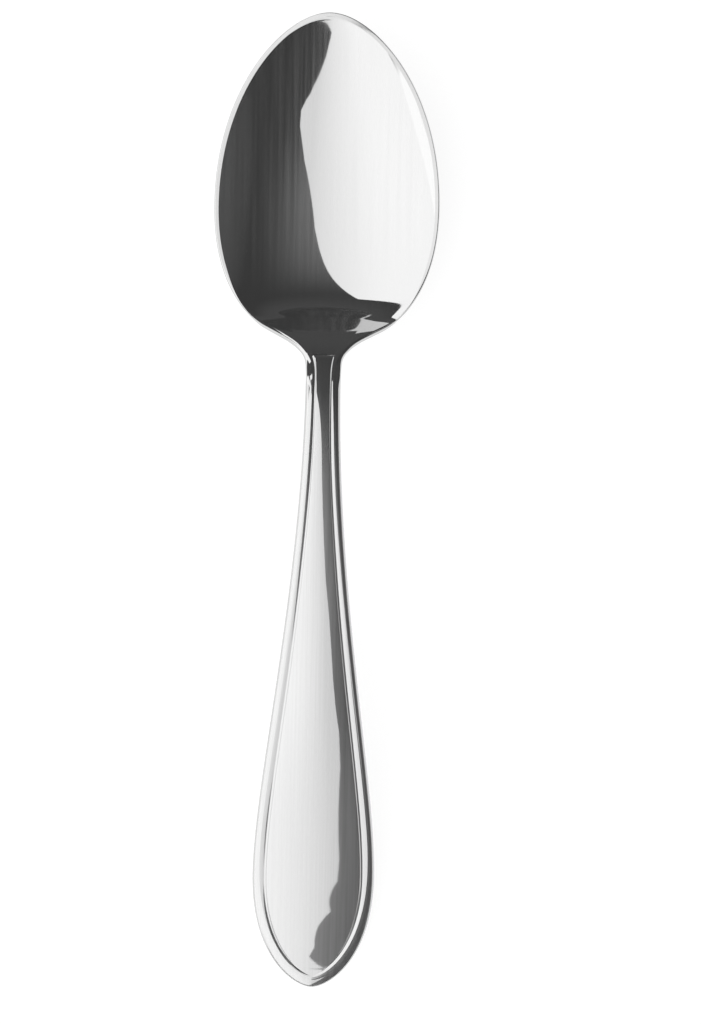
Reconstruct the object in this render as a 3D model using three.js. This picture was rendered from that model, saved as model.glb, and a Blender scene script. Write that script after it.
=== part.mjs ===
import * as THREE from "three";
import { mergeVertices } from "three/addons/utils/BufferGeometryUtils.js";

// A dessert spoon, stamped from one stainless steel blank, lying on a table with its hollow up.
// X runs across, Y runs from the handle tip to the bowl tip, Z is up and the table is at Z = 0.
// A station is a distance from the bowl tip along the spoon. All lengths are in millimetres.

// Driving dimensions: plan of the bowl and its shoulders
const BOWL_LENGTH = 58;          // bowl tip to the middle of the shoulders
const BOWL_WIDTH = 41.6;
const BOWL_WIDEST_AT = 35.4;     // station of the widest line
const BOWL_TIP_FULLNESS = 8;     // how far the outline holds square to the axis at the tip
const BOWL_FRONT_FULLNESS = 22;  // how far it holds the full width in front of the widest line
const BOWL_BACK_FULLNESS = 15.7; // and behind it
const SHOULDER_WIDTH = 21.8;     // across the middle of the shoulders
const SHOULDER_ANGLE = 61;       // degrees between a shoulder and the axis
const SHOULDER_ROUNDING = 2.7;   // reach of the round from the bowl into the shoulder
const SHOULDER_SWEEP = 8.4;      // reach of the hollow sweep from the shoulder into the neck

// Driving dimensions: plan of the neck and handle
const NECK_WIDTH = 6.45;
const SHOULDER_RUN = 10;         // middle of the shoulders to the narrowest line
const NECK_STRAIGHT = 5.6;       // how far the neck holds its width in front of that line
const FLARE_START = 39;          // how far the handle stays slender behind that line
const FLARE_LENGTH = 91;         // narrowest line to the widest line of the handle
const HANDLE_WIDTH = 22.5;
const HANDLE_FULLNESS = 17.6;    // how far the handle holds its full width in front of its widest line
const END_LENGTH = 21;           // widest line to the handle tip
const END_FULLNESS = 16;         // how far the full width holds behind the widest line
const END_BLUNTNESS = 3;         // how far the outline holds square to the axis at the tip

// Driving dimensions: where the bowl, the neck and the handle part
const TONGUE_LENGTH = 5;         // middle of the shoulders to the start of the neck and of its panel
const NECK_LENGTH = 21;          // start of the neck to the start of the handle

// Driving dimensions: side view of the rim, drawn through the middle of the metal
const RIM_AT_TIP = 13.3;         // height at the bowl tip
const RIM_TIP_FALL = 5;          // degrees that it falls there
const RIM_TIP_REACH = 15;        // reach of that fall
const RIM_LOW = 6.82;            // lowest height
const RIM_LOWEST_AT = 55.79;     // its station
const RIM_FRONT_REACH = 18;      // how far the rim stays low in front of it
const RIM_BACK_REACH = 1;        // and behind it

// Driving dimensions: side view of the keel, which is the line along the bottom of the hollow
const TIP_SLOPE = 31;            // degrees that the keel falls at the bowl tip
const TIP_REACH = 18;            // reach of that fall
const BOTTOM_AT = 39;            // station of the lowest place
const BOTTOM_FRONT_REACH = 16.8; // how far the bottom stays low in front of it
const BOTTOM_BACK_REACH = 14.33; // and behind it
const HEEL_SLOPE = 42.76;        // degrees that the keel climbs at the heel
const HEEL_AHEAD = 1.94;         // the climb is steepest this far in front of the middle of the shoulders
const HEEL_HEIGHT = 5.75;
const HEEL_FRONT_REACH = 1.9;    // reach of the climb in front of that place
const HEEL_BACK_REACH = 6.7;     // and behind it
const FLATNESS = 0.2;            // how much flatter than a parabola the bottom is across the bowl

// Driving dimensions: side view of the neck and handle
const NECK_HEIGHT = 13.24;       // middle of the metal at the narrowest line
const NECK_SLOPE = 26;           // degrees that it climbs there
const NECK_FRONT_REACH = 10.96;  // reach of that climb along the rim in front of it,
const NECK_KEEL_REACH = 7.45;    // along the keel in front of it,
const NECK_BACK_REACH = 9;       // and behind it
const CREST_BEHIND = 36;         // narrowest line to the crest of the arch
const CREST_HEIGHT = 19.2;
const CREST_FRONT_REACH = 14;    // reach of the arch in front of its crest
const CREST_BACK_REACH = 26;     // and behind it
const END_HEIGHT = 0.65;         // middle of the metal at the handle tip, under which it is cut flat
const END_SLOPE = 9;             // degrees that the handle falls there
const END_REACH = 26;            // reach of that fall

// Driving dimensions: thickness of the metal
const RIM_THICKNESS = 1;
const BOWL_WALL = 1.5;
const NECK_EDGE = 2.4;           // thickness of the round edge beside the neck
const HANDLE_EDGE = 2.1;         // and of the handle
const NECK_BELLY = 1.4;          // depth of the underside below the middle of the metal, along the axis
const HANDLE_BELLY = 0.7;        // and where the handle is widest
const WALL_FULL_AT = 14;         // the wall of the bowl is at its full thickness this far behind the tip
const BELLY_START = 8;           // the underside starts to swell this far in front of the shoulders
const EDGE_START = 3;            // and the rim to thicken this far in front of them
const REST_WIDTH = 4;            // the small flat under the bowl that it rests on: its width,
const REST_LENGTH = 5;           // its length,
const REST_DEPTH = 0.18;         // and how far it cuts into the round underside

// Driving dimensions: border thread and panel on the handle
const BORDER_AT_NECK = 1.65;     // outline to the edge of the panel, beside the neck
const BORDER_AT_END = 2.45;      // and at the widest line
const THREAD_DEPTH = 0.22;       // groove below the crown of the thread, beside the neck
const BORDER_DEPTH = 0.1;        // and at the widest line
const THREAD_START = 2;          // the thread starts this far in front of the middle of the shoulders
const PANEL_STEP = 0.28;         // rise of the panel's edge out of the groove
const PANEL_EDGE = 0.35;         // width of that rise
const PANEL_FRONT_ROUND = 1.6;   // length of the panel's rounded front
const PANEL_TIP_GAP = 3;         // panel tip to handle tip
const PANEL_END_FULLNESS = 13;   // how far the panel holds its full width behind the widest line
const PANEL_END_BLUNTNESS = 2.4; // how far its outline holds square to the axis at its tip
const PANEL_ROUND_AT_NECK = 6;   // radius of the panel's round face
const PANEL_ROUND_AT_END = 24;
const PANEL_FLATTENING = 72;     // length over which the first radius opens to the second
const CLOSED_PANEL = 0.6;        // half-width under which the panel sinks into the border

// How finely the surfaces are divided
const EDGE_STEPS = 6;            // round the edge, from the top face to the underside
const FACE_STEPS = 7;            // across half of a face
const PANEL_STEPS = 3;           // of those, across half of the panel
const BOWL_FRONT_ROWS = 13;
const BOWL_BACK_ROWS = 8;
const TONGUE_ROWS = 5;
const PANEL_FRONT_ROWS = 4;
const NECK_ROWS = 9;
const FLARE_ROWS = 18;
const END_ROWS = 14;

// Stations that follow from the dimensions
const NECK_START = BOWL_LENGTH + TONGUE_LENGTH;
const HANDLE_START = NECK_START + NECK_LENGTH;
const NARROWEST_AT = BOWL_LENGTH + SHOULDER_RUN;
const HANDLE_WIDEST_AT = NARROWEST_AT + FLARE_LENGTH;
const LENGTH = HANDLE_WIDEST_AT + END_LENGTH;

const { clamp, degToRad, lerp, smoothstep } = THREE.MathUtils;

function along(point, distance) {
  return new THREE.Vector2(point.x + distance, point.y);
}

function across(point, distance) {
  return new THREE.Vector2(point.x, point.y + distance);
}

function slanting(point, degrees, distance) {
  const angle = degToRad(degrees);
  return new THREE.Vector2(point.x + distance * Math.cos(angle), point.y + distance * Math.sin(angle));
}

// Plan outline, as half-width against station, from the bowl tip to the handle tip
const bowlTip = new THREE.Vector2(0, 0);
const bowlSide = new THREE.Vector2(BOWL_WIDEST_AT, BOWL_WIDTH / 2);
const shoulder = new THREE.Vector2(BOWL_LENGTH, SHOULDER_WIDTH / 2);
const neckSide = new THREE.Vector2(NARROWEST_AT, NECK_WIDTH / 2);
const handleSide = new THREE.Vector2(HANDLE_WIDEST_AT, HANDLE_WIDTH / 2);
const handleTip = new THREE.Vector2(LENGTH, 0);
const outline = [
  new THREE.CubicBezierCurve(
    bowlTip, across(bowlTip, BOWL_TIP_FULLNESS), along(bowlSide, -BOWL_FRONT_FULLNESS), bowlSide),
  new THREE.CubicBezierCurve(
    bowlSide, along(bowlSide, BOWL_BACK_FULLNESS),
    slanting(shoulder, -SHOULDER_ANGLE, -SHOULDER_ROUNDING), shoulder),
  new THREE.CubicBezierCurve(
    shoulder, slanting(shoulder, -SHOULDER_ANGLE, SHOULDER_SWEEP), along(neckSide, -NECK_STRAIGHT), neckSide),
  new THREE.CubicBezierCurve(
    neckSide, along(neckSide, FLARE_START), along(handleSide, -HANDLE_FULLNESS), handleSide),
  new THREE.CubicBezierCurve(
    handleSide, along(handleSide, END_FULLNESS), across(handleTip, END_BLUNTNESS), handleTip),
];

// Side view of the middle of the metal: along the rim, and along the keel under the axis.
// Behind the narrowest line of the neck both are the one arch of the handle.
const rimTip = new THREE.Vector2(0, RIM_AT_TIP);
const rimLow = new THREE.Vector2(RIM_LOWEST_AT, RIM_LOW);
const keelLow = new THREE.Vector2(BOTTOM_AT, BOWL_WALL / 2 - REST_DEPTH);
const heel = new THREE.Vector2(BOWL_LENGTH - HEEL_AHEAD, HEEL_HEIGHT);
const neckTop = new THREE.Vector2(NARROWEST_AT, NECK_HEIGHT);
const crest = new THREE.Vector2(NARROWEST_AT + CREST_BEHIND, CREST_HEIGHT);
const archEnd = new THREE.Vector2(LENGTH, END_HEIGHT);
const arch = [
  new THREE.CubicBezierCurve(
    neckTop, slanting(neckTop, NECK_SLOPE, NECK_BACK_REACH), along(crest, -CREST_FRONT_REACH), crest),
  new THREE.CubicBezierCurve(
    crest, along(crest, CREST_BACK_REACH), slanting(archEnd, -END_SLOPE, -END_REACH), archEnd),
];
const rim = [
  new THREE.CubicBezierCurve(
    rimTip, slanting(rimTip, -RIM_TIP_FALL, RIM_TIP_REACH), along(rimLow, -RIM_FRONT_REACH), rimLow),
  new THREE.CubicBezierCurve(
    rimLow, along(rimLow, RIM_BACK_REACH), slanting(neckTop, NECK_SLOPE, -NECK_FRONT_REACH), neckTop),
  ...arch,
];
const keelTip = new THREE.Vector2(RIM_THICKNESS / 2, atStation(rim, RIM_THICKNESS / 2).value);
const keel = [
  new THREE.CubicBezierCurve(
    keelTip, slanting(keelTip, -TIP_SLOPE, TIP_REACH), along(keelLow, -BOTTOM_FRONT_REACH), keelLow),
  new THREE.CubicBezierCurve(
    keelLow, along(keelLow, BOTTOM_BACK_REACH), slanting(heel, HEEL_SLOPE, -HEEL_FRONT_REACH), heel),
  new THREE.CubicBezierCurve(
    heel, slanting(heel, HEEL_SLOPE, HEEL_BACK_REACH), slanting(neckTop, NECK_SLOPE, -NECK_KEEL_REACH), neckTop),
  ...arch,
];

// The place on a chain of curves at a station, found by halving: its value there and its direction
function atStation(chain, station) {
  const halvings = 50;
  const curve = chain.find((one) => station <= one.getPoint(1).x) ?? chain.at(-1);
  let low = 0;
  let high = 1;
  for (let halving = 0; halving < halvings; halving += 1) {
    const middle = (low + high) / 2;
    if (curve.getPoint(middle).x < station) {
      low = middle;
    } else {
      high = middle;
    }
  }
  const end = station >= LENGTH ? 1 : low;
  return { value: curve.getPoint(end).y, direction: curve.getTangent(end) };
}

// Half the thickness of the edge: a thin rim, then a round thread beside the neck and the handle
function edgeRadius(station) {
  const thickening = smoothstep(station, BOWL_LENGTH - EDGE_START, NECK_START);
  const widening = smoothstep(station, NARROWEST_AT, HANDLE_WIDEST_AT);
  return lerp(lerp(RIM_THICKNESS, NECK_EDGE, thickening), HANDLE_EDGE, widening) / 2;
}

// One row across the spoon. The outline is drawn in by the edge's radius to the line that the round edge
// is centred on, and the reach is the half-width of the metal between the two round edges.
function rowAt(outlineStation) {
  const side = atStation(outline, outlineStation);
  const radius = edgeRadius(outlineStation);
  const outward = new THREE.Vector2(-side.direction.y, side.direction.x);
  return {
    outlineStation,
    halfWidth: side.value,
    radius,
    outward,
    station: outlineStation - radius * outward.x,
    reach: Math.max(0, side.value - radius * outward.y),
  };
}

// How far a place on a row lies towards the edge, as the square of its share of the reach
function shareSquared(row, x) {
  return row.reach > 0 ? Math.min((x / row.reach) ** 2, 1) : 1;
}

// Height of the middle of the metal: it hangs from the rim line to the keel line under the axis
function middleHeight(row, x) {
  const high = atStation(rim, row.station).value;
  const low = atStation(keel, row.station).value;
  const share = shareSquared(row, x);
  return high - (high - low) * (1 - share) * (1 + FLATNESS * share);
}

// The middle surface at a distance x from the axis, with its unit normal
function middleSurface(row, x) {
  const step = 0.05;
  const before = rowAt(Math.max(row.outlineStation - step, 0));
  const after = rowAt(Math.min(row.outlineStation + step, LENGTH));
  const run = after.station - before.station;
  const slopeAlong = (middleHeight(after, x) - middleHeight(before, x)) / run;
  const inner = Math.max(Math.abs(x) - step, 0);
  const slopeAcross = Math.sign(x) * (middleHeight(row, x) - middleHeight(row, inner)) / step;
  return {
    point: new THREE.Vector3(x, LENGTH / 2 - row.station, middleHeight(row, x)),
    normal: new THREE.Vector3(-slopeAcross, slopeAlong, 1).normalize(),
    slopeAlong,
    slopeAcross,
  };
}

// Half-width of the raised panel: a border narrower than the handle, with a round front and an arched end
const panelSide = new THREE.Vector2(HANDLE_WIDEST_AT, Math.max(HANDLE_WIDTH / 2 - BORDER_AT_END, 0));
const panelTip = new THREE.Vector2(LENGTH - PANEL_TIP_GAP, 0);
const panelEnd = [
  new THREE.CubicBezierCurve(
    panelSide, along(panelSide, PANEL_END_FULLNESS), across(panelTip, PANEL_END_BLUNTNESS), panelTip),
];

function alongHandle(station) {
  return clamp((station - NECK_START) / (HANDLE_WIDEST_AT - NECK_START), 0, 1);
}

function borderWidth(station) {
  return lerp(BORDER_AT_NECK, BORDER_AT_END, alongHandle(station));
}

function panelHalfWidth(row) {
  if (row.station >= panelTip.x) {
    return 0;
  }
  if (row.station > HANDLE_WIDEST_AT) {
    return Math.min(atStation(panelEnd, row.station).value, row.reach);
  }
  const front = clamp((row.station - NECK_START) / PANEL_FRONT_ROUND, 0, 1);
  const full = row.halfWidth - borderWidth(row.station);
  return clamp(full * Math.sqrt(1 - (1 - front) ** 2), 0, row.reach);
}

// Fall from the crown of the thread to the groove beside the panel, growing as the square of the inset
function borderFall(row, x) {
  const start = smoothstep(row.station, BOWL_LENGTH - THREAD_START, NECK_START);
  const widening = smoothstep(row.station, NARROWEST_AT, HANDLE_WIDEST_AT);
  const flat = Math.max(borderWidth(row.station) - row.radius, PANEL_EDGE);
  const inset = (row.reach - x) * row.outward.y;
  return lerp(THREAD_DEPTH, BORDER_DEPTH, widening) * start * clamp(inset / flat, 0, 1) ** 2;
}

// Distances from the axis to the edge across the top face, with the relief of panel and border on the metal
function topProfile(row, isBowl) {
  if (isBowl) {
    return facePlaces(row).map((x) => ({ x, lift: -borderFall(row, x) }));
  }
  const panel = panelHalfWidth(row);
  const inner = Math.max(panel - PANEL_EDGE, panel / 2);
  const raised = smoothstep(panel, 0, CLOSED_PANEL);
  const flattening = smoothstep(row.station, NECK_START, NECK_START + PANEL_FLATTENING);
  const radius = lerp(PANEL_ROUND_AT_NECK, PANEL_ROUND_AT_END, flattening);
  const onPanel = evenly(0, inner, PANEL_STEPS).map((x) => {
    const dome = (panel ** 2 - x ** 2) / (2 * radius);
    return { x, lift: (PANEL_STEP + dome) * raised - borderFall(row, x) };
  });
  const onBorder = evenly(panel, row.reach, FACE_STEPS - PANEL_STEPS - 1).map((x) => {
    return { x, lift: -borderFall(row, x) };
  });
  return [...onPanel, ...onBorder];
}

// Distances from the axis to the edge across a plain face, the first of them beside the flat that it rests on
function facePlaces(row) {
  const first = Math.min(REST_WIDTH / 2, row.reach / FACE_STEPS);
  return [0, ...evenly(first, row.reach, FACE_STEPS - 1)];
}

// Depth of the metal above and below its middle surface
function halfThickness(row, x, side) {
  const crown = (1 - shareSquared(row, x)) * smoothstep(row.station, 0, WALL_FULL_AT);
  const behindBowl = smoothstep(row.station, BOWL_LENGTH - BELLY_START, NARROWEST_AT);
  const widening = smoothstep(row.station, NARROWEST_AT, HANDLE_WIDEST_AT);
  const belly = lerp(lerp(BOWL_WALL / 2, NECK_BELLY, behindBowl), HANDLE_BELLY, widening);
  const top = lerp(BOWL_WALL / 2, row.radius, behindBowl);
  return lerp(row.radius, side > 0 ? top : belly, crown);
}

// The closed ring of points round one row: top face, right edge, underside and left edge
function ring(outlineStation) {
  const row = rowAt(outlineStation);
  const face = (x, side) => {
    const { point, normal } = middleSurface(row, x);
    return point.addScaledVector(normal, side * halfThickness(row, x, side));
  };
  const edge = (side) => {
    const { point, normal, slopeAlong, slopeAcross } = middleSurface(row, side * row.reach);
    const out = new THREE.Vector3(side * row.outward.y, -row.outward.x, 0);
    out.z = slopeAcross * out.x - slopeAlong * out.y;
    out.normalize();
    return Array.from({ length: EDGE_STEPS - 1 }, (_, step) => {
      const angle = Math.PI * (step + 1) / EDGE_STEPS;
      return point.clone()
        .addScaledVector(normal, row.radius * Math.cos(angle))
        .addScaledVector(out, row.radius * Math.sin(angle));
    });
  };
  const right = topProfile(row, outlineStation <= NECK_START);
  const left = right.slice(1).reverse().map(({ x, lift }) => ({ x: -x, lift }));
  const upper = [...left, ...right].map(({ x, lift }) => face(x, 1).add(new THREE.Vector3(0, 0, lift)));
  const places = facePlaces(row);
  const lower = [...places.slice(1).reverse(), ...places.map((x) => -x)].map((x) => face(x, -1));
  const points = [...upper, ...edge(1), ...lower, ...edge(-1).reverse()];
  points.forEach((point) => {
    point.z = Math.max(point.z, 0);
  });
  return points;
}

// A closed solid through a row of rings, with a flat cap on an end that doesn't close to a tip
function solidThrough(rings, capStart, capEnd) {
  const around = rings[0].length;
  const points = rings.flat();
  const triangles = [];
  for (let row = 0; row < rings.length - 1; row += 1) {
    for (let step = 0; step < around; step += 1) {
      const a = row * around + step;
      const d = row * around + (step + 1) % around;
      triangles.push(a, a + around, d + around, a, d + around, d);
    }
  }
  const cap = (row, turned) => {
    const centre = new THREE.Vector3();
    rings[row].forEach((point) => centre.addScaledVector(point, 1 / around));
    points.push(centre);
    for (let step = 0; step < around; step += 1) {
      const a = row * around + step;
      const b = row * around + (step + 1) % around;
      triangles.push(points.length - 1, turned ? b : a, turned ? a : b);
    }
  };
  if (capStart) {
    cap(0, false);
  }
  if (capEnd) {
    cap(rings.length - 1, true);
  }
  const loose = new THREE.BufferGeometry().setFromPoints(points);
  loose.setIndex(triangles);
  const geometry = mergeVertices(loose);
  const merged = geometry.index.array;
  const kept = [];
  for (let first = 0; first < merged.length; first += 3) {
    const [a, b, c] = merged.slice(first, first + 3);
    if (a !== b && b !== c && c !== a) {
      kept.push(a, b, c);
    }
  }
  geometry.setIndex(kept);
  geometry.computeVertexNormals();
  return geometry;
}

// Places between two ends, even, or closing up towards a tip
function evenly(from, to, steps) {
  return Array.from({ length: steps + 1 }, (_, step) => from + (to - from) * step / steps);
}

function closingUp(from, tip, steps) {
  return Array.from({ length: steps + 1 }, (_, step) => {
    const angle = Math.PI / 2 * step / steps;
    return from + (tip - from) * Math.sin(angle);
  });
}

function polishedSteel() {
  return new THREE.MeshStandardMaterial({ color: 0xcfcfcd, roughness: 0.1, metalness: 1 });
}

function piece(name, geometry) {
  const mesh = new THREE.Mesh(geometry, polishedSteel());
  mesh.name = name;
  return mesh;
}

// Bowl: the dished end, from its tip to the end of the tongue between the shoulders
const bowlStations = [
  ...closingUp(BOWL_WIDEST_AT, 0, BOWL_FRONT_ROWS).reverse(),
  BOTTOM_AT - REST_LENGTH / 2,
  BOTTOM_AT,
  ...evenly(BOTTOM_AT + REST_LENGTH / 2, BOWL_LENGTH, BOWL_BACK_ROWS),
  ...evenly(BOWL_LENGTH, NECK_START, TONGUE_ROWS).slice(1),
];
const bowl = piece("bowl", solidThrough(bowlStations.map(ring), false, true));

// Neck: the slender stretch from the tongue up to the arch of the handle
const neckStations = [
  ...evenly(NECK_START, NECK_START + PANEL_FRONT_ROUND, PANEL_FRONT_ROWS),
  ...evenly(NECK_START + PANEL_FRONT_ROUND, HANDLE_START, NECK_ROWS).slice(1),
];
const neck = piece("neck", solidThrough(neckStations.map(ring), true, true));

// Handle: the arched blade from the neck to its tip
const handleStations = [
  ...evenly(HANDLE_START, HANDLE_WIDEST_AT, FLARE_ROWS),
  ...closingUp(HANDLE_WIDEST_AT, LENGTH, END_ROWS).slice(1),
];
const handle = piece("handle", solidThrough(handleStations.map(ring), true, false));

const spoon = new THREE.Group();
spoon.add(bowl, neck, handle);

export default spoon;
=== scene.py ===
import bmesh
import bpy
import numpy as np
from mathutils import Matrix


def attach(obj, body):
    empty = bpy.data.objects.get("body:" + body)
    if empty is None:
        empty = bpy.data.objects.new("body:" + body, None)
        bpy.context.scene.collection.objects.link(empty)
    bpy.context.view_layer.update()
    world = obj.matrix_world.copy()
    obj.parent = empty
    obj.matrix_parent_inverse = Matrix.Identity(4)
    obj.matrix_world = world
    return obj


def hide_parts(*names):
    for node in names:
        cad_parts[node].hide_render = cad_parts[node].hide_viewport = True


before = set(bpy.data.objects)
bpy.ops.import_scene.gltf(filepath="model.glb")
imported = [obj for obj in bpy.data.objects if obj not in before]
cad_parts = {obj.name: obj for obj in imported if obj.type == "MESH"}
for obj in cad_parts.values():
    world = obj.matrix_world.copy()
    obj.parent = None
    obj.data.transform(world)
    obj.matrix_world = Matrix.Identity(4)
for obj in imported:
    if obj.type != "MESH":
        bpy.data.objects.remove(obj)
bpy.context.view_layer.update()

# Bowl
# The dished end of the spoon: one stainless steel blank, cut to its outline, pressed hollow between two
# dies and polished. The neck and the handle are the same blank, so the outline and the side view are
# drawn here for the whole spoon. X runs across, and a station is in millimetres from the bowl tip.
MM = 0.001
LENGTH = 180.0
BOWL_LENGTH = 58.0
BOWL_WIDTH = 41.6
BOWL_WIDEST_AT = 35.4
BOWL_TIP_FULLNESS = 8.0
BOWL_FRONT_FULLNESS = 22.0
BOWL_BACK_FULLNESS = 15.7
SHOULDER_WIDTH = 21.8
SHOULDER_ANGLE = 61.0
SHOULDER_ROUNDING = 2.7
SHOULDER_SWEEP = 8.4
NECK_WIDTH = 6.45
NARROWEST_AT = 68.0
NECK_STRAIGHT = 5.6
FLARE_START = 39.0
HANDLE_WIDTH = 22.5
HANDLE_WIDEST_AT = 159.0
HANDLE_FULLNESS = 17.6
END_FULLNESS = 16.0
END_BLUNTNESS = 3.0
NECK_START = 63.0
HANDLE_START = 84.0
CURVE_POINTS = 400


def bezier(*corners):
    """Points of a cubic curve from the first corner to the last, pulled towards the two between."""
    t = np.linspace(0.0, 1.0, CURVE_POINTS)[:, None]
    a, b, c, d = (np.array(corner, float) for corner in corners)
    return a * (1 - t) ** 3 + 3 * b * t * (1 - t) ** 2 + 3 * c * t**2 * (1 - t) + d * t**3


def chain(*curves):
    """Curves joined end to end, as one line of points."""
    return np.concatenate([curves[0]] + [curve[1:] for curve in curves[1:]])


def at_station(line, station):
    """Value of a line of points at a station."""
    return np.interp(station, line[:, 0], line[:, 1])


def slanting(angle, distance):
    """A step of that length, rising at that angle in degrees."""
    return distance * np.array([np.cos(np.radians(angle)), np.sin(np.radians(angle))])


def ease(value, low, high):
    """0 below low, 1 above high, and a smooth S between them."""
    t = np.clip((value - low) / (high - low), 0.0, 1.0)
    return t * t * (3 - 2 * t)


def mix(a, b, share):
    """a where the share is 0, b where it is 1."""
    return a + (b - a) * share


ALONG = np.array([1.0, 0.0])
ACROSS = np.array([0.0, 1.0])
bowl_tip = np.array([0.0, 0.0])
bowl_side = np.array([BOWL_WIDEST_AT, BOWL_WIDTH / 2])
shoulder = np.array([BOWL_LENGTH, SHOULDER_WIDTH / 2])
neck_side = np.array([NARROWEST_AT, NECK_WIDTH / 2])
handle_side = np.array([HANDLE_WIDEST_AT, HANDLE_WIDTH / 2])
handle_tip = np.array([LENGTH, 0.0])
outline = chain(
    bezier(bowl_tip, bowl_tip + BOWL_TIP_FULLNESS * ACROSS,
           bowl_side - BOWL_FRONT_FULLNESS * ALONG, bowl_side),
    bezier(bowl_side, bowl_side + BOWL_BACK_FULLNESS * ALONG,
           shoulder - slanting(-SHOULDER_ANGLE, SHOULDER_ROUNDING), shoulder),
    bezier(shoulder, shoulder + slanting(-SHOULDER_ANGLE, SHOULDER_SWEEP),
           neck_side - NECK_STRAIGHT * ALONG, neck_side),
    bezier(neck_side, neck_side + FLARE_START * ALONG,
           handle_side - HANDLE_FULLNESS * ALONG, handle_side),
    bezier(handle_side, handle_side + END_FULLNESS * ALONG,
           handle_tip + END_BLUNTNESS * ACROSS, handle_tip),
)

RIM_THICKNESS = 1.0
BOWL_WALL = 1.5
NECK_EDGE = 2.4
HANDLE_EDGE = 2.1
NECK_BELLY = 1.4
HANDLE_BELLY = 0.7
THICKENING_START = 8.0
WALL_FULL_AT = 14.0
EDGE_THICKENS_FROM = 55.0
BEVEL_FROM = 47.0
BEVEL_FULL = 56.0
BEVEL_FADES = 62.0
BEVEL_ENDS = 65.5
BEVEL_STEEPNESS = 0.55
BEVEL_FLATNESS = 0.5
END_SPREAD = 0.9
END_SPREADS_FROM = 150.0
END_SPREAD_AT = 180.0


def behind_bowl(station):
    """0 along the bowl and 1 along the neck and handle."""
    return ease(station, BOWL_LENGTH - THICKENING_START, NARROWEST_AT)


def widening(station):
    """0 along the neck and 1 where the handle is widest."""
    return ease(station, NARROWEST_AT, HANDLE_WIDEST_AT)


def edge_radius(station):
    """Half the thickness of the edge: a thin rim, then the round threads beside the neck and handle."""
    thickening = ease(station, EDGE_THICKENS_FROM, NECK_START)
    return mix(mix(RIM_THICKNESS, NECK_EDGE, thickening), HANDLE_EDGE, widening(station)) / 2


def bevel(station):
    """1 beside the shoulders, whose outer edge falls as a steep bevel, and 0 where the edge is round."""
    return ease(station, BEVEL_FROM, BEVEL_FULL) * (1 - ease(station, BEVEL_FADES, BEVEL_ENDS))


def end_spread(station):
    """1 round the end of the handle, whose thread spreads outwards, and 0 before it."""
    return ease(station, END_SPREADS_FROM, END_SPREAD_AT)


def edge_overhang(station):
    """How far the edge stands out past its own line: less at the bevel, more round the handle end."""
    return edge_radius(station) * (1 - BEVEL_STEEPNESS * bevel(station) + END_SPREAD * end_spread(station))


# The edge is centred on a line drawn in from the outline by its overhang.
outline_run = np.gradient(outline, axis=0)
outline_run /= np.linalg.norm(outline_run, axis=1)[:, None]
outward = np.stack([-outline_run[:, 1], outline_run[:, 0]], axis=1)
edge_line = outline - edge_overhang(outline[:, 0])[:, None] * outward
edge_line[:, 0] = np.maximum.accumulate(edge_line[:, 0])
EDGE_START = edge_line[0, 0]
EDGE_END = edge_line[-1, 0]

# Side view: height of the middle of the metal along the rim, and along the keel under the axis.
RIM_AT_TIP = 13.3
RIM_TIP_FALL = 5.0
RIM_TIP_REACH = 15.0
RIM_LOW = 6.82
RIM_LOWEST_AT = 55.79
RIM_FRONT_REACH = 18.0
RIM_BACK_REACH = 1.0
TIP_SLOPE = 31.0
TIP_REACH = 18.0
BOTTOM_AT = 39.0
BOTTOM_FRONT_REACH = 16.8
BOTTOM_BACK_REACH = 14.33
REST_DEPTH = 0.18
HEEL_AT = 56.06
HEEL_HEIGHT = 5.75
HEEL_SLOPE = 42.76
HEEL_FRONT_REACH = 1.9
HEEL_BACK_REACH = 6.7
NECK_HEIGHT = 13.24
NECK_SLOPE = 26.0
NECK_FRONT_REACH = 10.96
NECK_KEEL_REACH = 7.45
NECK_BACK_REACH = 9.0
CREST_AT = 104.0
CREST_HEIGHT = 19.2
CREST_FRONT_REACH = 14.0
CREST_BACK_REACH = 26.0
END_HEIGHT = 0.65
END_SLOPE = 9.0
END_REACH = 26.0
rim_tip = np.array([0.0, RIM_AT_TIP])
rim_low = np.array([RIM_LOWEST_AT, RIM_LOW])
keel_low = np.array([BOTTOM_AT, BOWL_WALL / 2 - REST_DEPTH])
heel = np.array([HEEL_AT, HEEL_HEIGHT])
neck_top = np.array([NARROWEST_AT, NECK_HEIGHT])
crest = np.array([CREST_AT, CREST_HEIGHT])
arch_end = np.array([LENGTH, END_HEIGHT])
arch = chain(
    bezier(neck_top, neck_top + slanting(NECK_SLOPE, NECK_BACK_REACH),
           crest - CREST_FRONT_REACH * ALONG, crest),
    bezier(crest, crest + CREST_BACK_REACH * ALONG,
           arch_end - slanting(-END_SLOPE, END_REACH), arch_end),
)
rim = chain(
    bezier(rim_tip, rim_tip + slanting(-RIM_TIP_FALL, RIM_TIP_REACH),
           rim_low - RIM_FRONT_REACH * ALONG, rim_low),
    bezier(rim_low, rim_low + RIM_BACK_REACH * ALONG,
           neck_top - slanting(NECK_SLOPE, NECK_FRONT_REACH), neck_top),
    arch,
)
keel_tip = np.array([EDGE_START, at_station(rim, EDGE_START)])
keel = chain(
    bezier(keel_tip, keel_tip + slanting(-TIP_SLOPE, TIP_REACH),
           keel_low - BOTTOM_FRONT_REACH * ALONG, keel_low),
    bezier(keel_low, keel_low + BOTTOM_BACK_REACH * ALONG,
           heel - slanting(HEEL_SLOPE, HEEL_FRONT_REACH), heel),
    bezier(heel, heel + slanting(HEEL_SLOPE, HEEL_BACK_REACH),
           neck_top - slanting(NECK_SLOPE, NECK_KEEL_REACH), neck_top),
    arch,
)

FLATNESS = 0.2
LEAST_REACH = 0.001
SLOPE_STEP = 0.02
NEAR_TIP = 0.01


def rim_height(station):
    """Height of the rim line."""
    return at_station(rim, station)


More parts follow.
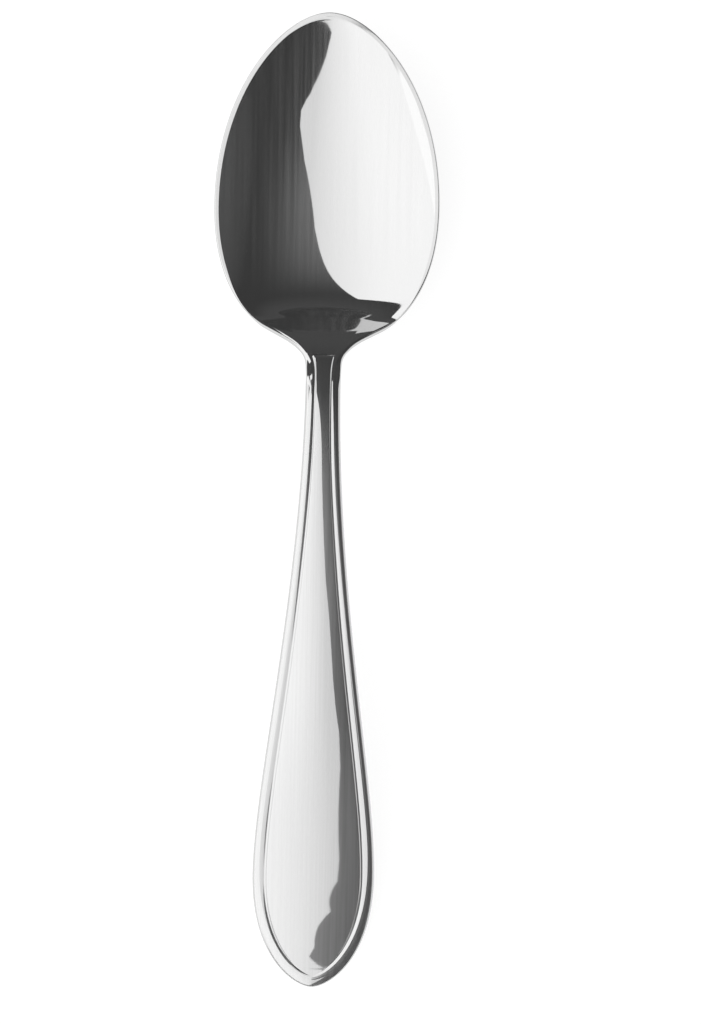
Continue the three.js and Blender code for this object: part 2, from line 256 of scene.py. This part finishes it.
def depth(station):
    """Depth of the keel line under the rim line."""
    return rim_height(station) - at_station(keel, station)


def reach_squared(station):
    """Square of the half-width between the two round edges, which runs straight into the tips."""
    square = np.interp(station, edge_line[:, 0], np.maximum(edge_line[:, 1], 0.0) ** 2)
    return np.maximum(square, LEAST_REACH**2)


def rate(quantity, station):
    """Rate at which a quantity changes along the spoon."""
    ahead = np.maximum(station - SLOPE_STEP, EDGE_START)
    behind = np.minimum(station + SLOPE_STEP, EDGE_END)
    return (quantity(behind) - quantity(ahead)) / (behind - ahead)


def middle_surface(x, station):
    """Points and normals of the middle of the metal. It hangs from the rim line to the keel line: q is the
    square of x over the reach, and the height is rim - depth (1 - q)(1 + flatness q). At a tip, where the
    reach is nothing, the slopes are those just inside it."""
    square = reach_squared(station)
    q = np.minimum(x**2 / square, 1.0)
    share = (1 - q) * (1 + FLATNESS * q)
    share_rate = FLATNESS - 1 - 2 * FLATNESS * q
    height = rim_height(station) - depth(station) * share
    near = np.clip(station, EDGE_START + NEAR_TIP, EDGE_END - NEAR_TIP)
    near_square = reach_squared(near)
    slope_x = -depth(near) * share_rate * 2 * x / np.sqrt(square * near_square)
    slope_s = (rate(rim_height, near) - rate(depth, near) * share
               + depth(near) * share_rate * q * rate(reach_squared, near) / near_square)
    normal = np.stack([-slope_x, slope_s, np.ones_like(height)], axis=-1)
    normal /= np.linalg.norm(normal, axis=-1, keepdims=True)
    return np.stack([x, LENGTH / 2 - station, height], axis=-1), normal


def crown_share(x, station):
    """0 at the rim and at the bowl tip, and 1 along the axis, where the metal is thickest."""
    return (1 - np.minimum(x**2 / reach_squared(station), 1.0)) * ease(station, EDGE_START, WALL_FULL_AT)


def top_face(x, station, lift):
    """Points of the top face: the middle surface, raised along its normal by half the metal and the lift."""
    middle, normal = middle_surface(x, station)
    crown = crown_share(x, station)
    radius = edge_radius(station)
    half = mix(radius, mix(BOWL_WALL / 2, radius, behind_bowl(station)), crown)
    return middle + (half + lift)[..., None] * normal


def underside(x, station):
    """Points of the underside: the middle surface, lowered along its normal by the depth of the belly."""
    middle, normal = middle_surface(x, station)
    crown = crown_share(x, station)
    belly = mix(mix(BOWL_WALL / 2, NECK_BELLY, behind_bowl(station)), HANDLE_BELLY, widening(station))
    return middle - mix(edge_radius(station), belly, crown)[..., None] * normal


LAND_FADES = 44.0
LAND_ENDS = 54.0
LAND_SLANT = 0.08
SQUARE_FROM = 60.0
SQUARE_FULL = 62.0
SQUARE_FADES = 66.5
SQUARE_ENDS = 69.0
SQUARENESS = 0.6


def round_edge(stations, side, turn):
    """Points of one edge, turned about its line from the top face to the underside: r cos a up, r sin a out.
    Powers of sine and cosine bevel it beside the shoulders and round the handle end, and make it squarer
    beside the neck. Along the bowl its top is ground to a nearly level land."""
    middle, normal = middle_surface(side * np.sqrt(reach_squared(stations)), stations)
    place = np.interp(stations, edge_line[:, 0], np.arange(len(edge_line)))
    out_along = np.interp(place, np.arange(len(edge_line)), outward[:, 0])
    out_across = np.interp(place, np.arange(len(edge_line)), outward[:, 1])
    lean = np.arctan2(-(normal[:, 0] * side * out_across - normal[:, 1] * out_along), normal[:, 2])
    angle = turn - lean[:, None]
    square = ease(stations, SQUARE_FROM, SQUARE_FULL) * (1 - ease(stations, SQUARE_FADES, SQUARE_ENDS))
    shape = 1 + BEVEL_FLATNESS * (bevel(stations) + end_spread(stations)) - SQUARENESS * square
    power = np.where(angle > 0, shape[:, None], 1.0)
    up = np.sign(np.cos(angle)) * np.abs(np.cos(angle)) ** power * edge_radius(stations)[:, None]
    out = np.sign(np.sin(angle)) * np.abs(np.sin(angle)) ** power * edge_overhang(stations)[:, None]
    land = 1 - ease(stations, LAND_FADES, LAND_ENDS)
    inner = edge_radius(stations) * np.sin(lean)
    ground = edge_radius(stations) * mix(1.0, np.cos(lean), land)
    up = np.minimum(up, ground[:, None] + (LAND_SLANT * land)[:, None] * (out + inner[:, None]))
    x = middle[:, :1] + out * side * out_across[:, None]
    y = middle[:, 1:2] - out * out_along[:, None]
    return np.stack([x, y, middle[:, 2:] + up], axis=-1)


EDGE_COLUMNS = 41
UNDER_COLUMNS = 61
SEAM = 0.003


def spoon_rings(stations, x, lift):
    """Rings of points round the spoon in metres, one for each station: the top face at the places x across it
    with its lift, the right round edge, the underside and the left round edge. The table cuts them flat."""
    along = np.broadcast_to(stations[:, None], x.shape)
    under_x = np.sqrt(reach_squared(stations))[:, None] * np.linspace(1.0, -1.0, UNDER_COLUMNS)
    under_along = np.broadcast_to(stations[:, None], under_x.shape)
    turn = np.linspace(0.0, np.pi, EDGE_COLUMNS + 2)[1:-1]
    rings = np.concatenate([
        top_face(x, along, lift),
        round_edge(stations, 1.0, turn),
        underside(under_x, under_along),
        round_edge(stations, -1.0, turn[::-1]),
    ], axis=1)
    rings[..., 2] = np.maximum(rings[..., 2], 0.0)
    return rings * MM


def solid(name, rings, cap_first, cap_last):
    """A closed mesh through rings of points, with a flat cap on an end that isn't a tip. At a tip the points
    of the ring fall together, and are joined."""
    rows, around, _ = rings.shape
    index = np.arange(rows * around).reshape(rows, around)
    here, there = index[:-1], index[1:]
    quads = np.stack([here, there, np.roll(there, -1, 1), np.roll(here, -1, 1)], axis=-1).reshape(-1, 4)
    caps = []
    if cap_first:
        caps.append(index[0].tolist())
    if cap_last:
        caps.append(index[-1][::-1].tolist())
    mesh = bpy.data.meshes.new(name)
    mesh.from_pydata(rings.reshape(-1, 3), [], quads.tolist() + caps)
    mesh.polygons.foreach_set("use_smooth", np.ones(len(mesh.polygons), bool))
    mesh.update()
    ends = np.empty(len(mesh.edges) * 2, np.int32)
    mesh.edges.foreach_get("vertices", ends)
    sharp = np.isin(ends.reshape(-1, 2), caps).all(axis=1)
    mesh.attributes.new("sharp_edge", "BOOLEAN", "EDGE").data.foreach_set("value", sharp)
    join = bmesh.new()
    join.from_mesh(mesh)
    bmesh.ops.remove_doubles(join, verts=join.verts, dist=SEAM * MM)
    join.to_mesh(mesh)
    join.free()
    piece = bpy.data.objects.new(name, mesh)
    bpy.context.scene.collection.objects.link(piece)
    return piece


BOWL_SHINE = 0.62
HANDLE_SHINE = 0.56
STEEL_ROUGHNESS = 0.04
HAZE_ROUGHNESS = 0.5
HAZE_STRENGTH = 3.4
HAZE_ON_BOWL = 0.4
HAZE_AT_HEEL = 0.06
HAZE_ON_HANDLE = 0.85
# The bowl's haze ends, and the handle's starts, from the first to the second place along Y, in metres.
HAZE_ENDS = (0.055, 0.038)
HAZE_STARTS = (0.028, 0.005)
HAZE_BETWEEN_LINES = 0.75
LINE_STRETCH = (1.0, 0.02, 0.0)
LINES_PER_METRE = 1400.0
LINE_DETAIL = 3.0
LINE_NOISE = (0.3, 0.7)


def polished_steel():
    """Mirror-polished steel. The polishing wheel ran lengthwise and left faint lines that scatter a little
    light: noise drawn out along the spoon sets how much of a rough coat lies over the mirror. The lines are
    far apart on the bowl, fade at the heel, where the wheel can't reach, and are close on the handle, whose
    mirror is a little darker under them."""
    material = bpy.data.materials.new("polished_steel")
    material.use_nodes = True
    tree = material.node_tree
    shader = tree.nodes["Principled BSDF"]
    shader.inputs["Metallic"].default_value = 1.0
    shader.inputs["Roughness"].default_value = STEEL_ROUGHNESS
    shader.inputs["Coat Roughness"].default_value = HAZE_ROUGHNESS
    shader.inputs["Coat IOR"].default_value = HAZE_STRENGTH
    place = tree.nodes.new("ShaderNodeTexCoord")
    stretch = tree.nodes.new("ShaderNodeMapping")
    stretch.inputs["Scale"].default_value = LINE_STRETCH
    lines = tree.nodes.new("ShaderNodeTexNoise")
    lines.inputs["Scale"].default_value = LINES_PER_METRE
    lines.inputs["Detail"].default_value = LINE_DETAIL
    split = tree.nodes.new("ShaderNodeSeparateXYZ")
    tree.links.new(place.outputs["Object"], split.inputs["Vector"])

    def along_spoon(limits, first, last):
        """A value that runs from the first to the last between two places along the spoon."""
        share = tree.nodes.new("ShaderNodeMapRange")
        share.inputs["From Min"].default_value = limits[0]
        share.inputs["From Max"].default_value = limits[1]
        share.inputs["To Min"].default_value = first
        share.inputs["To Max"].default_value = last
        tree.links.new(split.outputs["Y"], share.inputs["Value"])
        return share.outputs["Result"]

    strongest = tree.nodes.new("ShaderNodeMath")
    strongest.operation = "MAXIMUM"
    tree.links.new(along_spoon(HAZE_ENDS, HAZE_ON_BOWL, HAZE_AT_HEEL), strongest.inputs[0])
    tree.links.new(along_spoon(HAZE_STARTS, 0.0, HAZE_ON_HANDLE), strongest.inputs[1])
    streaks = tree.nodes.new("ShaderNodeMapRange")
    streaks.inputs["From Min"].default_value = LINE_NOISE[0]
    streaks.inputs["From Max"].default_value = LINE_NOISE[1]
    tree.links.new(along_spoon(HAZE_STARTS, 0.0, HAZE_BETWEEN_LINES), streaks.inputs["To Min"])
    haze = tree.nodes.new("ShaderNodeMath")
    haze.operation = "MULTIPLY"
    tree.links.new(place.outputs["Object"], stretch.inputs["Vector"])
    tree.links.new(stretch.outputs["Vector"], lines.inputs["Vector"])
    tree.links.new(lines.outputs["Fac"], streaks.inputs["Value"])
    tree.links.new(streaks.outputs["Result"], haze.inputs[0])
    tree.links.new(strongest.outputs["Value"], haze.inputs[1])
    tree.links.new(haze.outputs["Value"], shader.inputs["Coat Weight"])
    tree.links.new(along_spoon(HAZE_STARTS, BOWL_SHINE, HANDLE_SHINE), shader.inputs["Base Color"])
    return material


THREAD_START = 2.0
THREAD_AT_NECK = 0.06
THREAD_ON_HANDLE = 0.22
THREAD_AT_END = 0.1
THREAD_AT_TIP = 0.4
THREAD_DEEPEST_AT = 172.0
THREAD_RISE_FROM = 70.0
THREAD_RISE_TO = 86.0
BORDER_AT_NECK = 1.65
BORDER_AT_END = 2.45


def border_width(station):
    """Distance in from the outline to the edge of the panel."""
    along = np.clip((station - NECK_START) / (HANDLE_WIDEST_AT - NECK_START), 0, 1)
    return mix(BORDER_AT_NECK, BORDER_AT_END, along)


def border_fall(x, station):
    """Fall from the crown of the thread to the groove beside it, growing as the square of the inset."""
    facing = np.interp(station, edge_line[:, 0], outward[:, 1])
    inset = (np.sqrt(reach_squared(station)) - np.abs(x)) * facing
    flat = border_width(station) - edge_overhang(station)
    thread = mix(THREAD_AT_NECK, THREAD_ON_HANDLE, ease(station, THREAD_RISE_FROM, THREAD_RISE_TO))
    groove = mix(thread, THREAD_AT_END, widening(station))
    groove = groove * ease(station, BOWL_LENGTH - THREAD_START, NECK_START)
    groove = mix(groove, THREAD_AT_TIP, ease(station, HANDLE_WIDEST_AT, THREAD_DEEPEST_AT))
    return groove * np.clip(inset / flat, 0, 1) ** 2


def closing(first, last, count):
    """Stations that crowd together towards the last one."""
    return first + (last - first) * np.sin(np.linspace(0, np.pi / 2, count))


TIP_GROUND = 0.25
TIP_GROUND_TO = 9.0
TIP_ROUNDING = 0.12


def ground_tip(rings, stations):
    """Rings with the rim ground level at the bowl tip: no point is higher than the level, and within a
    rounding r of it a point comes down by r/4 times the square of its nearness. Along the sides the level
    rises to the top of the rim."""
    tip = stations < TIP_GROUND_TO
    share = 1 - ease(stations[tip], EDGE_START, TIP_GROUND_TO)[:, None]
    level = MM * (rim_height(stations[tip])[:, None] + RIM_THICKNESS / 2 - TIP_GROUND * share)
    rounding = MM * TIP_ROUNDING * np.maximum(share, LEAST_REACH)
    height = rings[tip, :, 2]
    nearness = np.maximum(1 - np.abs(height - level) / rounding, 0)
    ground = rings.copy()
    ground[tip, :, 2] = np.minimum(height, level) - rounding / 4 * nearness**2
    return ground


BOWL_COLUMNS = 141
BOWL_ROWS = 90
steel = polished_steel()
bowl_rows = np.concatenate([
    closing(BOTTOM_AT, EDGE_START, BOWL_ROWS)[::-1],
    np.linspace(BOTTOM_AT, NECK_START, BOWL_ROWS)[1:],
])
across_bowl = np.sin(np.linspace(-np.pi / 2, np.pi / 2, BOWL_COLUMNS))
bowl_x = np.sqrt(reach_squared(bowl_rows))[:, None] * across_bowl
bowl_lift = -border_fall(bowl_x, bowl_rows[:, None])
bowl_rings = ground_tip(spoon_rings(bowl_rows, bowl_x, bowl_lift), bowl_rows)
bowl = solid("spoon_bowl", bowl_rings, cap_first=False, cap_last=True)
bowl.data.materials.append(steel)
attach(bowl, "root")
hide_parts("bowl")

# Neck
# The slender stretch that climbs from the bowl to the arch of the handle, forged thick under the panel. The
# same die raises a panel, which starts with a short ramp, and presses a thread along each edge.
PANEL_START = 63.05
PANEL_FRONT_ROUND = 0.5
PANEL_RAMP = 0.87
PANEL_TIP_GAP = 2.2
PANEL_END_FULLNESS = 13.0
PANEL_END_BLUNTNESS = 2.4
PANEL_STEP_AT_NECK = 0.28
PANEL_STEP_ON_HANDLE = 0.4
PANEL_EDGE = 0.35
PANEL_FOOT_AT_NECK = 0.05
PANEL_FOOT_ON_HANDLE = 0.3
PANEL_ROUND_AT_FRONT = 16.0
PANEL_ROUND_AT_NECK = 6.0
PANEL_ROUNDS_BY = 80.0
PANEL_ROUND_MIDWAY = 18.0
PANEL_ROUND_AT_END = 42.0
PANEL_MIDWAY = 145.0
PANEL_FLATTENS_FROM = 122.0
PANEL_FLAT_AT = 155.0
CROWN_FALLS_FROM = 165.0
CROWN_GONE_AT = 175.7
RELIEF_FADES = 176.3
RELIEF_ENDS = 178.0
PANEL_POINTS = 1200
panel_stations = np.linspace(PANEL_START, HANDLE_WIDEST_AT, PANEL_POINTS)
panel_front = np.clip((panel_stations - PANEL_START) / PANEL_FRONT_ROUND, 0, 1)
panel_half = at_station(outline, panel_stations) - border_width(panel_stations)
panel_half = panel_half * np.sqrt(1 - (1 - panel_front) ** 2)
panel_side = np.array([HANDLE_WIDEST_AT, panel_half[-1]])
panel_tip = np.array([LENGTH - PANEL_TIP_GAP, 0.0])
panel_line = chain(
    np.stack([panel_stations, panel_half], axis=1),
    bezier(panel_side, panel_side + PANEL_END_FULLNESS * ALONG,
           panel_tip + PANEL_END_BLUNTNESS * ACROSS, panel_tip),
)


def panel_squared(station):
    """Square of the panel's half-width, 0 where there is no panel."""
    return np.interp(station, panel_line[:, 0], panel_line[:, 1] ** 2, left=0.0, right=0.0)


def panel_radius(station):
    """Radius of the panel's round face: small along the neck, larger at its front, largest at its end."""
    before = mix(PANEL_ROUND_AT_NECK, PANEL_ROUND_MIDWAY, ease(station, NECK_START, PANEL_MIDWAY))
    before = mix(PANEL_ROUND_AT_FRONT, before, ease(station, PANEL_START, PANEL_ROUNDS_BY))
    return mix(before, PANEL_ROUND_AT_END, ease(station, PANEL_FLATTENS_FROM, PANEL_FLAT_AT))


def handle_lift(x, station):
    """Relief of the top face: the border falls to the groove, and the panel steps up out of it to a round
    face that rises by (p^2 - x^2) / 2R, p being the panel's half-width and R the radius of its face. Past the
    widest place the crown stays level and then falls as the square of the run to the tip, and the step
    follows it. Just before the tip the relief runs out."""
    square = panel_squared(station)
    spare = square - x**2
    radius = panel_radius(station)
    run = np.maximum((station - CROWN_FALLS_FROM) / (CROWN_GONE_AT - CROWN_FALLS_FROM), 0)
    crown = panel_half[-1] ** 2 / (2 * PANEL_ROUND_AT_END) * (1 - run**2)
    higher = np.where(station > HANDLE_WIDEST_AT, crown - square / (2 * radius), 0)
    on_handle = ease(station, NECK_START, CREST_AT)
    ramp = np.clip((station - PANEL_START) / PANEL_RAMP, 0, 1)
    step = ramp * mix(PANEL_STEP_AT_NECK, PANEL_STEP_ON_HANDLE, on_handle) + higher
    foot = mix(PANEL_FOOT_AT_NECK, PANEL_FOOT_ON_HANDLE, on_handle)
    inside = spare / np.sqrt(4 * x**2 + rate(panel_squared, station) ** 2 + LEAST_REACH)
    relief = 1 - ease(station, RELIEF_FADES, RELIEF_ENDS)
    border = border_fall(x, station)
    return relief * (step * ease(inside, -foot, PANEL_EDGE) - border) + np.maximum(spare, 0) / (2 * radius)


PANEL_COLUMNS = 25
STEP_COLUMNS = 17
BORDER_COLUMNS = 15
STEP_INSIDE = 0.5
STEP_OUTSIDE = 0.35


def handle_places(stations):
    """Places across the top face, crowded at the panel's edge."""
    reach = np.sqrt(reach_squared(stations))[:, None]
    panel = np.sqrt(panel_squared(stations))[:, None]
    inner = np.maximum(panel - STEP_INSIDE, panel / 2)
    outer = np.minimum(panel + STEP_OUTSIDE, (panel + reach) / 2)
    half = np.concatenate([
        inner * np.linspace(0, 1, PANEL_COLUMNS)[1:],
        mix(inner, outer, np.linspace(0, 1, STEP_COLUMNS)[1:]),
        mix(outer, reach, np.linspace(0, 1, BORDER_COLUMNS)[1:]),
    ], axis=1)
    return np.concatenate([-half[:, ::-1], 0 * reach, half], axis=1)


PANEL_FRONT_END = 66.0
NECK_ROWS = 61
neck_rows = np.concatenate([
    np.linspace(NECK_START, PANEL_FRONT_END, NECK_ROWS),
    np.linspace(PANEL_FRONT_END, HANDLE_START, NECK_ROWS)[1:],
])
neck_x = handle_places(neck_rows)
neck_lift = handle_lift(neck_x, neck_rows[:, None])
neck_rings = spoon_rings(neck_rows, neck_x, neck_lift)
neck = solid("spoon_neck", neck_rings, cap_first=True, cap_last=True)
neck.data.materials.append(steel)
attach(neck, "root")
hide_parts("neck")

# Handle
# The arched blade behind the neck, of the same blank: its panel widens into a low dome, the thread follows
# the outline round to the pointed tip, and the underside of the tip rests on the table.
HANDLE_ROWS = 141
handle_rows = np.concatenate([
    np.linspace(HANDLE_START, HANDLE_WIDEST_AT, HANDLE_ROWS),
    closing(HANDLE_WIDEST_AT, EDGE_END, HANDLE_ROWS)[1:],
])
handle_x = handle_places(handle_rows)
handle_relief = handle_lift(handle_x, handle_rows[:, None])
handle_rings = spoon_rings(handle_rows, handle_x, handle_relief)
handle = solid("spoon_handle", handle_rings, cap_first=True, cap_last=False)
handle.data.materials.append(steel)
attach(handle, "root")
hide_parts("handle")

# Floor
# White paper under the spoon. It is lit from inside for the camera and for what the steel mirrors, so that it
# stays white, and its dull surface still takes the spoon's shadow.
FLOOR_SIZE = 8.0
FLOOR_COLOUR = (0.25, 0.25, 0.25, 1)
FLOOR_ROUGHNESS = 1.0
FLOOR_SHEEN = 0.0
FLOOR_GLOW = 0.88
WHITE = (1, 1, 1, 1)
bpy.ops.mesh.primitive_plane_add(size=FLOOR_SIZE)
floor = bpy.context.active_object
floor.name = "floor"


def seen_directly(tree):
    """1 for what the camera sees straight, in a mirror or through glass, 0 for light on a dull surface."""
    path = tree.nodes.new("ShaderNodeLightPath")
    mirrored = tree.nodes.new("ShaderNodeMath")
    mirrored.operation = "MAXIMUM"
    tree.links.new(path.outputs["Is Glossy Ray"], mirrored.inputs[0])
    tree.links.new(path.outputs["Is Transmission Ray"], mirrored.inputs[1])
    either = tree.nodes.new("ShaderNodeMath")
    either.operation = "MAXIMUM"
    tree.links.new(path.outputs["Is Camera Ray"], either.inputs[0])
    tree.links.new(mirrored.outputs["Value"], either.inputs[1])
    return either.outputs["Value"]


paper = bpy.data.materials.new("white_paper")
paper.use_nodes = True
paper_tree = paper.node_tree
paper_shader = paper_tree.nodes["Principled BSDF"]
paper_shader.inputs["Base Color"].default_value = FLOOR_COLOUR
paper_shader.inputs["Roughness"].default_value = FLOOR_ROUGHNESS
paper_shader.inputs["Specular IOR Level"].default_value = FLOOR_SHEEN
paper_shader.inputs["Emission Color"].default_value = WHITE
paper_glow = paper_tree.nodes.new("ShaderNodeMath")
paper_glow.operation = "MULTIPLY"
paper_glow.inputs[1].default_value = FLOOR_GLOW
paper_tree.links.new(seen_directly(paper_tree), paper_glow.inputs[0])
paper_tree.links.new(paper_glow.outputs["Value"], paper_shader.inputs["Emission Strength"])
floor.data.materials.append(paper)

# Softbox
# A big white light above the left side, a sheet of cloth with a lamp behind it, brighter further left. The
# steel mirrors its slanting edge, with the notch at its near end, as the line between its bright and dark
# halves. Its corners are in units of its height over the table.
LIGHT_HEIGHT = 0.5
LIGHT_CORNERS = [
    (-0.8, -6.0), (0.2, -2.2), (0.41, -1.44), (0.185, -1.285), (0.05, -1.235), (-0.04, -1.19),
    (0.06, -1.08), (0.17, -1.005), (0.275, -0.949), (0.378, -0.854), (0.45, -0.74), (0.43, -0.55),
    (0.29, -0.18), (0.09, 0.2), (-0.03, 0.48), (-0.18, 0.83), (-0.41, 1.38), (-6.0, 1.34), (-6.0, -6.0),
]
LIGHT_NEAR = 0.1
LIGHT_FAR = -0.65
LIGHT_AT_NEAR = 1.06
LIGHT_AT_FAR = 1.45
LIGHT_FALL_OFF = 3.0
corners = LIGHT_HEIGHT * np.array(LIGHT_CORNERS)
sheet = bpy.data.meshes.new("softbox")
sheet_points = np.c_[corners, np.full(len(corners), LIGHT_HEIGHT)]
sheet.from_pydata(sheet_points, [], [list(range(len(corners)))])
softbox = bpy.data.objects.new("softbox", sheet)
bpy.context.scene.collection.objects.link(softbox)
softbox.visible_camera = False


def power_range(tree, value, low, high, power, at_low, at_high):
    """A value taken from one range to another, along a power of its share of the first range."""
    share = tree.nodes.new("ShaderNodeMapRange")
    share.inputs["From Min"].default_value = low
    share.inputs["From Max"].default_value = high
    tree.links.new(value, share.inputs["Value"])
    curve = tree.nodes.new("ShaderNodeMath")
    curve.operation = "POWER"
    curve.inputs[1].default_value = power
    tree.links.new(share.outputs["Result"], curve.inputs[0])
    level = tree.nodes.new("ShaderNodeMapRange")
    level.inputs["To Min"].default_value = at_low
    level.inputs["To Max"].default_value = at_high
    tree.links.new(curve.outputs["Value"], level.inputs["Value"])
    return level.outputs["Result"]


glow = bpy.data.materials.new("softbox_glow")
glow.use_nodes = True
glow_tree = glow.node_tree
glow_tree.nodes.clear()
glow_out = glow_tree.nodes.new("ShaderNodeOutputMaterial")
glow_emission = glow_tree.nodes.new("ShaderNodeEmission")
glow_place = glow_tree.nodes.new("ShaderNodeTexCoord")
glow_split = glow_tree.nodes.new("ShaderNodeSeparateXYZ")
glow_tree.links.new(glow_place.outputs["Object"], glow_split.inputs["Vector"])
glow_strength = power_range(
    glow_tree, glow_split.outputs["X"], LIGHT_FAR, LIGHT_NEAR, LIGHT_FALL_OFF, LIGHT_AT_FAR, LIGHT_AT_NEAR)
glow_tree.links.new(glow_strength, glow_emission.inputs["Strength"])
glow_tree.links.new(glow_emission.outputs["Emission"], glow_out.inputs["Surface"])
softbox.data.materials.append(glow)

# Room
# The dark studio round the table, which the steel mirrors in its dark half: a little lighter overhead than
# at the sides, with a dim wall on the right and ahead of the bowl, and a white wall on the left that carries
# the softbox's light down to the table. A wall is listed with its axis, how far towards that axis a ray
# points where the wall starts and where it is full, and its light.
ROOM_OVERHEAD = 0.2
ROOM_SIDES = 0.06
ROOM_FALL_OFF = 8.0
ROOM_RIGHT = 0.06
ROOM_AHEAD = 0.03
ROOM_LEFT = 1.5
ROOM_WALLS = [("X", 0.8, 1.0, ROOM_RIGHT), ("Y", 0.7, 0.95, ROOM_AHEAD), ("X", -0.7, -0.8, ROOM_LEFT)]
WALL_RISE = 1.0
world = bpy.data.worlds.new("room")
bpy.context.scene.world = world
world.use_nodes = True
room_tree = world.node_tree
room_shader = room_tree.nodes["Background"]
room_place = room_tree.nodes.new("ShaderNodeTexCoord")
room_split = room_tree.nodes.new("ShaderNodeSeparateXYZ")
room_tree.links.new(room_place.outputs["Generated"], room_split.inputs["Vector"])
room_level = power_range(
    room_tree, room_split.outputs["Z"], 0.0, 1.0, ROOM_FALL_OFF, ROOM_SIDES, ROOM_OVERHEAD)
for axis, start, full, light in ROOM_WALLS:
    wall = power_range(room_tree, room_split.outputs[axis], start, full, WALL_RISE, 0.0, light)
    with_wall = room_tree.nodes.new("ShaderNodeMath")
    room_tree.links.new(room_level, with_wall.inputs[0])
    room_tree.links.new(wall, with_wall.inputs[1])
    room_level = with_wall.outputs["Value"]
room_tree.links.new(room_level, room_shader.inputs["Strength"])
room_shader.inputs["Color"].default_value = WHITE

# Camera
# A long lens straight above the spoon, which lies turned a degree in the picture. The scale is in millimetres
# a pixel at the table, and the centres are in pixels from the picture's top left corner.
TILT = 1.175
SCALE = 0.18607
CAMERA_LENS = 180.0
SENSOR = 36.0
PICTURE_HEIGHT = 1024
PICTURE_CENTRE = np.array([350.5, 512.0])
SPOON_CENTRE = np.array([321.1, 502.9])
camera_data = bpy.data.cameras.new("camera")
camera_data.lens = CAMERA_LENS
camera = bpy.data.objects.new("camera", camera_data)
bpy.context.scene.collection.objects.link(camera)
across_picture = np.array([np.cos(np.radians(TILT)), np.sin(np.radians(TILT))])
up_picture = np.array([-across_picture[1], across_picture[0]])
offset = (PICTURE_CENTRE - SPOON_CENTRE) * SCALE * MM
centre = offset[0] * across_picture - offset[1] * up_picture
camera.location = (centre[0], centre[1], CAMERA_LENS / SENSOR * PICTURE_HEIGHT * SCALE * MM)
camera.rotation_euler = (0, 0, np.radians(TILT))
bpy.context.scene.camera = camera
bpy.context.scene.view_settings.view_transform = "Standard"
